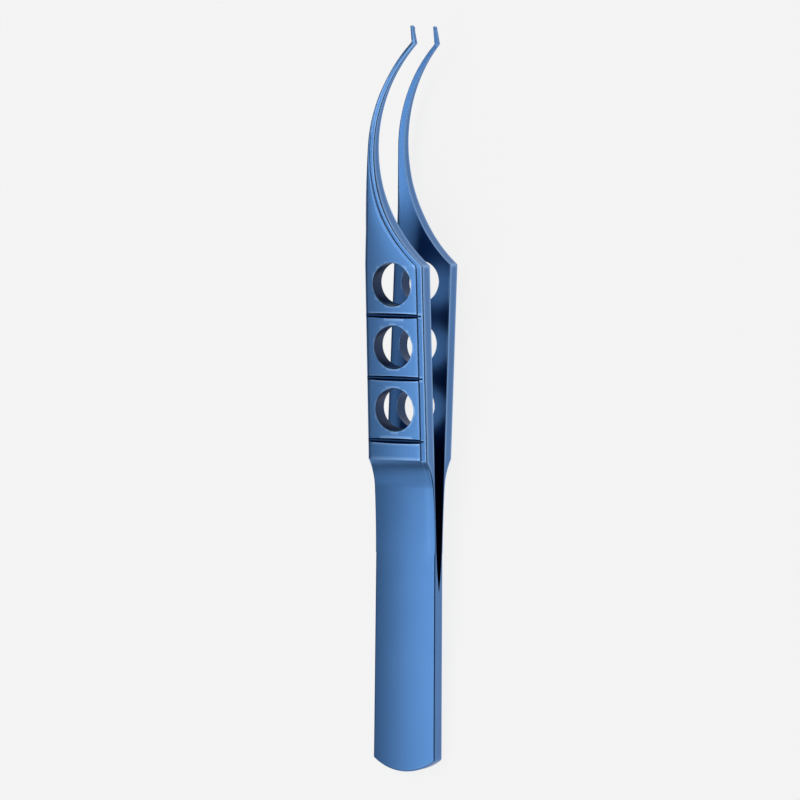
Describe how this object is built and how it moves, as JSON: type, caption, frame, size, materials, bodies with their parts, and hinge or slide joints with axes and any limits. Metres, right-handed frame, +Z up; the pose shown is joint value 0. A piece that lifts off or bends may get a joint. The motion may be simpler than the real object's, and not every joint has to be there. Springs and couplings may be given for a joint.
{
  "type": "tissue forceps",
  "caption": "Slim spring forceps for eye surgery: flat joined tail, two stepped grip pads with round grip holes and cross grooves, and long curved jaws with fine meshing teeth.",
  "frame": {"origin": "middle of the footprint, on the surface that the forceps lies on", "axes": "+Y from the tail end to the tips, +Z up from the surface, +X across the grip, towards the side with the hollow neck edge"},
  "size_m": [0.0078, 0.085, 0.0101],
  "materials": {
    "titanium": "satin blue anodised titanium"
  },
  "bodies": {
    "tail": {"tail": "titanium"},
    "front_arm": {"front_arm": "titanium"},
    "rear_arm": {"rear_arm": "titanium"}
  },
  "joints": [
    {"name": "front_arm_flex", "type": "hinge", "parent": "tail", "child": "front_arm", "pos_m": [0, -0.01757, 0.00331], "axis": [-1, 0, 0], "range_deg": [0, 2.4], "stiffness_Nm_per_rad": 0.45},
    {"name": "rear_arm_flex", "type": "hinge", "parent": "tail", "child": "rear_arm", "pos_m": [0, -0.01748, 0.00198], "axis": [1, 0, 0], "range_deg": [0, 2.4], "stiffness_Nm_per_rad": 0.45}
  ]
}
